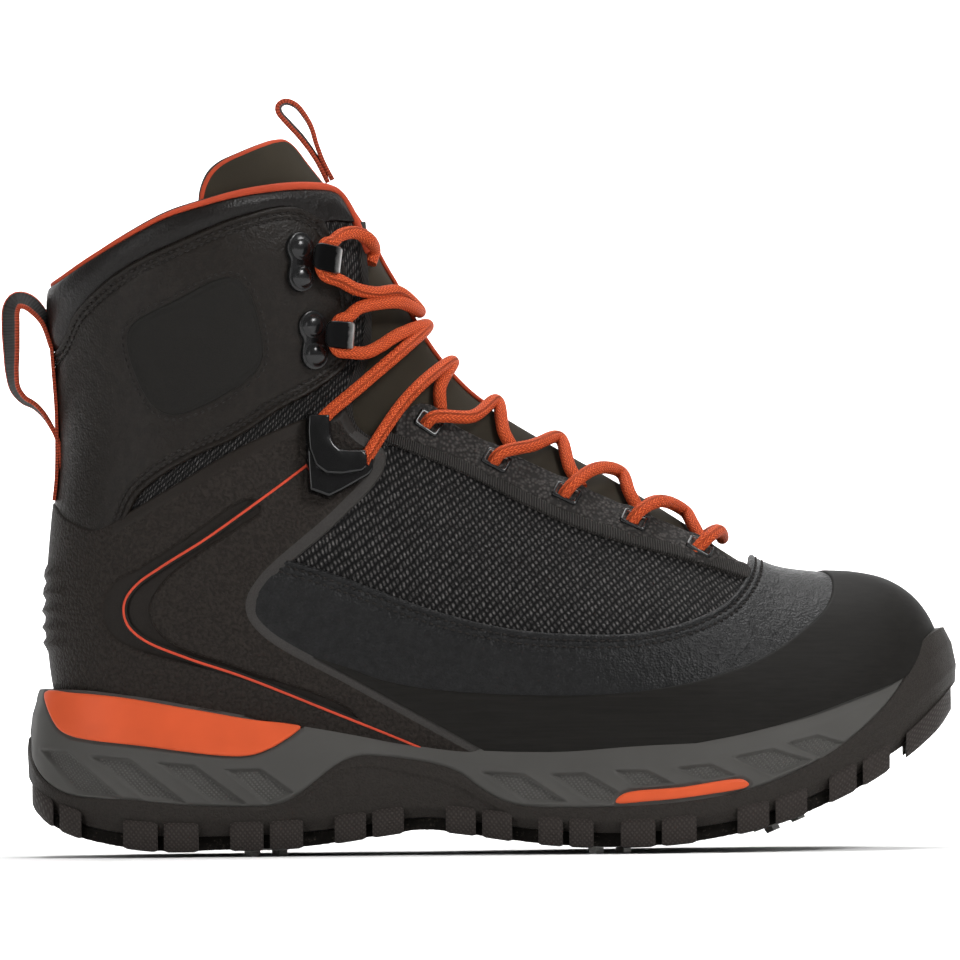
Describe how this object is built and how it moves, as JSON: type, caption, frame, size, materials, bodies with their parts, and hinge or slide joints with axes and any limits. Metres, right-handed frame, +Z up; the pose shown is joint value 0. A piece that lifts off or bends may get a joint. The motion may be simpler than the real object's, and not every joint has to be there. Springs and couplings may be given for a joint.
{
  "type": "wading boot",
  "caption": "Lace-up wading boot for the right foot: hollow upper with a tall collar, moulded heel cage, toe rand, foam midsole and a lugged felt sole with cleats.",
  "frame": {"origin": "middle of the boot's footprint on the floor", "axes": "+X towards the toe, +Y towards the inner side of the foot, +Z up"},
  "size_m": [0.3276, 0.1216, 0.2603],
  "materials": {
    "cloth": "open black weave over a dark lining",
    "leather": "smooth black synthetic leather with a fine grain",
    "cage": "matte charcoal, fine pebbled texture",
    "rand": "matte black rubber",
    "rubber": "matte black rubber with textured lugs",
    "foam": "matte mid-grey foam",
    "orange": "satin orange",
    "binding": "burnt orange woven edge",
    "webbing": "black webbing with orange edges",
    "eyestay": "dark grey textured webbing",
    "tongue": "matte dark olive",
    "felt": "dense black felt",
    "fitting": "glossy black",
    "steel": "worn bright steel",
    "plastic": "glossy black",
    "lace": "braided orange cord"
  },
  "bodies": {
    "root": {"upper": "cloth", "insole": "cloth", "tongue": "tongue", "heel_cage": "cage", "toe_rand": "rand", "vamp_band": "leather", "ankle_panel": "leather", "collar_binding": "binding", "midsole": "foam", "outsole": "rubber", "felt_sole": "felt", "cleat_heel_outer": "steel", "cleat_heel_inner": "steel", "cleat_ball_outer": "steel", "cleat_ball_inner": "steel", "cleat_toe_outer": "steel", "cleat_toe_inner": "steel", "heel_panel_outer": "orange", "fore_strip_outer": "orange", "ankle_patch_outer": "rand", "eyestay_outer": "eyestay", "lace_lock_outer": "plastic", "eyelet_outer_1": "fitting", "eyelet_outer_2": "fitting", "eyelet_outer_3": "fitting", "eyelet_outer_4": "fitting", "eyelet_outer_5": "fitting", "hook_outer_1": "fitting", "hook_outer_2": "fitting", "heel_panel_inner": "orange", "fore_strip_inner": "orange", "ankle_patch_inner": "rand", "eyestay_inner": "eyestay", "lace_lock_inner": "plastic", "eyelet_inner_1": "fitting", "eyelet_inner_2": "fitting", "eyelet_inner_3": "fitting", "eyelet_inner_4": "fitting", "eyelet_inner_5": "fitting", "hook_inner_1": "fitting", "hook_inner_2": "fitting", "heel_loop": "webbing", "tongue_loop": "webbing", "lace_ankle": "lace", "lace_lock_crossing": "lace", "lace_crossing_1": "lace", "lace_crossing_2": "lace", "lace_crossing_3": "lace", "lace_crossing_4": "lace", "lace_toe_bar": "lace"}
  },
  "joints": []
}
